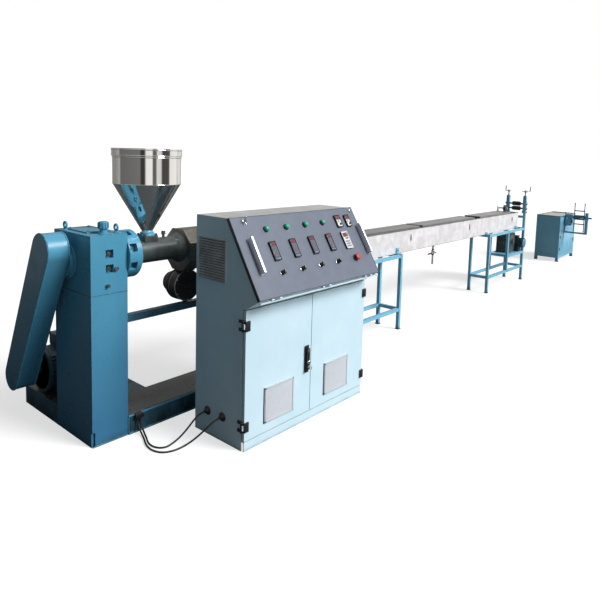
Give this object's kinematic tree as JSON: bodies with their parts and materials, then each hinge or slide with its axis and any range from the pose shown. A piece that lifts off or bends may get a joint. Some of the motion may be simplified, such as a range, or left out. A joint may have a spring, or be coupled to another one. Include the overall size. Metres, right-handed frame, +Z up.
{
  "type": "welding rod making machine",
  "caption": "Plastic welding rod line: extruder with hopper and control cabinet, long water trough on stands, roller haul-off and winder with reel.",
  "frame": {"origin": "on the floor, at the middle of the whole line", "axes": "+X along the line from the extruder to the winder, +Y to the back, away from the control cabinet, +Z up"},
  "size_m": [8.843, 1.5275, 1.5973],
  "materials": {
    "machine_blue": "brushed enamel, slightly oily and worn",
    "dark_blue_enamel": "enamel",
    "dark_iron": "oily machined and painted iron",
    "stainless": "brushed sheet",
    "polished_stainless": "polished sheet",
    "black_enamel": "black enamel",
    "cabinet_paint": "powder coat",
    "vent_plastic": "moulded grille",
    "panel_paint": "powder coat",
    "black_plastic": "moulded",
    "green_plastic": "moulded",
    "red_plastic": "moulded",
    "cable_rubber": "sheathed cable",
    "roller_rubber": "rubber tyre on steel",
    "bright_steel": "worn steel"
  },
  "bodies": {
    "plant": {"barrel_cover": "stainless", "barrel_support": "machine_blue", "base_frame": "machine_blue", "belt_guard": "machine_blue", "cabinet_back": "cabinet_paint", "cabinet_floor": "cabinet_paint", "cabinet_lip": "cabinet_paint", "cabinet_sides": "cabinet_paint", "cabinet_top": "cabinet_paint", "cable_glands": "black_plastic", "cooling_blowers": "black_enamel", "die_head": "dark_iron", "door_hinges": "black_enamel", "drain_pipe": "stainless", "drive_motor": "dark_blue_enamel", "extruder_cable_1": "cable_rubber", "extruder_cable_2": "cable_rubber", "feed_section": "dark_iron", "gearbox_column": "machine_blue", "gearbox_fittings": "machine_blue", "gearbox_housing": "machine_blue", "haul_off_gearbox": "dark_iron", "haul_off_motor": "dark_blue_enamel", "haul_off_posts": "machine_blue", "hopper_body": "polished_stainless", "hopper_throat": "dark_iron", "reel_frame": "machine_blue", "stand_1_legs": "machine_blue", "stand_1_rails": "machine_blue", "stand_2_legs": "machine_blue", "stand_2_rails": "machine_blue", "thrust_housing": "machine_blue", "trough": "stainless", "trough_covers": "stainless", "winder_cabinet": "machine_blue", "winder_tray": "bright_steel"},
    "left_door": {"left_door": "cabinet_paint", "left_door_vent": "vent_plastic", "lock_plate": "black_plastic"},
    "right_door": {"right_door": "cabinet_paint", "right_door_vent": "vent_plastic"},
    "lock_handle": {"lock_handle": "black_plastic"},
    "control_panel": {"control_panel": "panel_paint", "panel_handles": "black_enamel", "panel_buttons": "green_plastic", "panel_instruments": "black_plastic"},
    "emergency_stop": {"emergency_stop_button": "red_plastic"},
    "selector_knob_1": {"selector_knob_1": "black_plastic"},
    "selector_knob_2": {"selector_knob_2": "black_plastic"},
    "selector_knob_3": {"selector_knob_3": "black_plastic"},
    "selector_knob_4": {"selector_knob_4": "black_plastic"},
    "hopper_lid": {"hopper_lid": "polished_stainless"},
    "drain_lever": {"drain_lever": "stainless"},
    "lower_roller": {"lower_roller": "roller_rubber"},
    "upper_roller": {"upper_roller": "roller_rubber"},
    "front_handwheel": {"front_handwheel": "bright_steel"},
    "back_handwheel": {"back_handwheel": "bright_steel"},
    "guide_wheel": {"guide_wheel": "bright_steel"},
    "winding_reel": {"winding_reel": "bright_steel"}
  },
  "joints": [
    {"name": "left_door_hinge", "type": "hinge", "parent": "plant", "child": "left_door", "pos_m": [-3.7485, -0.64225, 0.414], "axis": [0, 0, -1], "range_deg": [0, 110]},
    {"name": "right_door_hinge", "type": "hinge", "parent": "plant", "child": "right_door", "pos_m": [-2.6585, -0.64225, 0.414], "axis": [0, 0, 1], "range_deg": [0, 110]},
    {"name": "lock_handle_turn", "type": "hinge", "parent": "left_door", "child": "lock_handle", "pos_m": [-3.2485, -0.66025, 0.442], "axis": [0, 1, 0], "range_deg": [0, 90]},
    {"name": "control_panel_hinge", "type": "hinge", "parent": "plant", "child": "control_panel", "pos_m": [-3.2035, -0.75925, 0.837], "axis": [1, 0, 0], "range_deg": [0, 90]},
    {"name": "emergency_stop_press", "type": "slide", "parent": "control_panel", "child": "emergency_stop", "axis": [0, 0.852, -0.5235], "range_m": [0, 0.006]},
    {"name": "selector_turn_1", "type": "hinge", "parent": "control_panel", "child": "selector_knob_1", "pos_m": [-3.5115, -0.70679, 0.95613], "axis": [0, -0.852, 0.5235], "range_deg": [-45, 45]},
    {"name": "selector_turn_2", "type": "hinge", "parent": "control_panel", "child": "selector_knob_2", "pos_m": [-3.3475, -0.70679, 0.95613], "axis": [0, -0.852, 0.5235], "range_deg": [-45, 45]},
    {"name": "selector_turn_3", "type": "hinge", "parent": "control_panel", "child": "selector_knob_3", "pos_m": [-3.1835, -0.70679, 0.95613], "axis": [0, -0.852, 0.5235], "range_deg": [-45, 45]},
    {"name": "selector_turn_4", "type": "hinge", "parent": "control_panel", "child": "selector_knob_4", "pos_m": [-3.0195, -0.70679, 0.95613], "axis": [0, -0.852, 0.5235], "range_deg": [-45, 45]},
    {"name": "hopper_lid_lift", "type": "slide", "parent": "plant", "child": "hopper_lid", "axis": [0, 0, 1], "range_m": [0, 0.25]},
    {"name": "drain_lever_turn", "type": "hinge", "parent": "plant", "child": "drain_lever", "pos_m": [-0.5245, -0.03925, 0.63], "axis": [0, -1, 0], "range_deg": [0, 90]},
    {"name": "lower_roller_spin", "type": "hinge", "parent": "plant", "child": "lower_roller", "pos_m": [1.8485, 0.03475, 0.951], "axis": [0, 1, 0], "continuous": true},
    {"name": "upper_roller_spin", "type": "hinge", "parent": "plant", "child": "upper_roller", "pos_m": [1.8485, 0.03475, 1.013], "axis": [0, 1, 0], "continuous": true},
    {"name": "front_handwheel_turn", "type": "hinge", "parent": "plant", "child": "front_handwheel", "pos_m": [1.8485, -0.07425, 1.1], "axis": [0, 0, 1], "continuous": true},
    {"name": "back_handwheel_turn", "type": "hinge", "parent": "plant", "child": "back_handwheel", "pos_m": [1.8485, 0.14575, 1.1], "axis": [0, 0, 1], "continuous": true},
    {"name": "guide_wheel_spin", "type": "hinge", "parent": "plant", "child": "guide_wheel", "pos_m": [1.5185, 0.05475, 0.964], "axis": [0, 1, 0], "continuous": true},
    {"name": "winding_reel_spin", "type": "hinge", "parent": "plant", "child": "winding_reel", "pos_m": [3.8685, -0.21625, 0.71], "axis": [0, 1, 0], "continuous": true}
  ],
  "couplings": [
    {"joint": "upper_roller_spin", "follows": "lower_roller_spin", "ratio": -1}
  ]
}
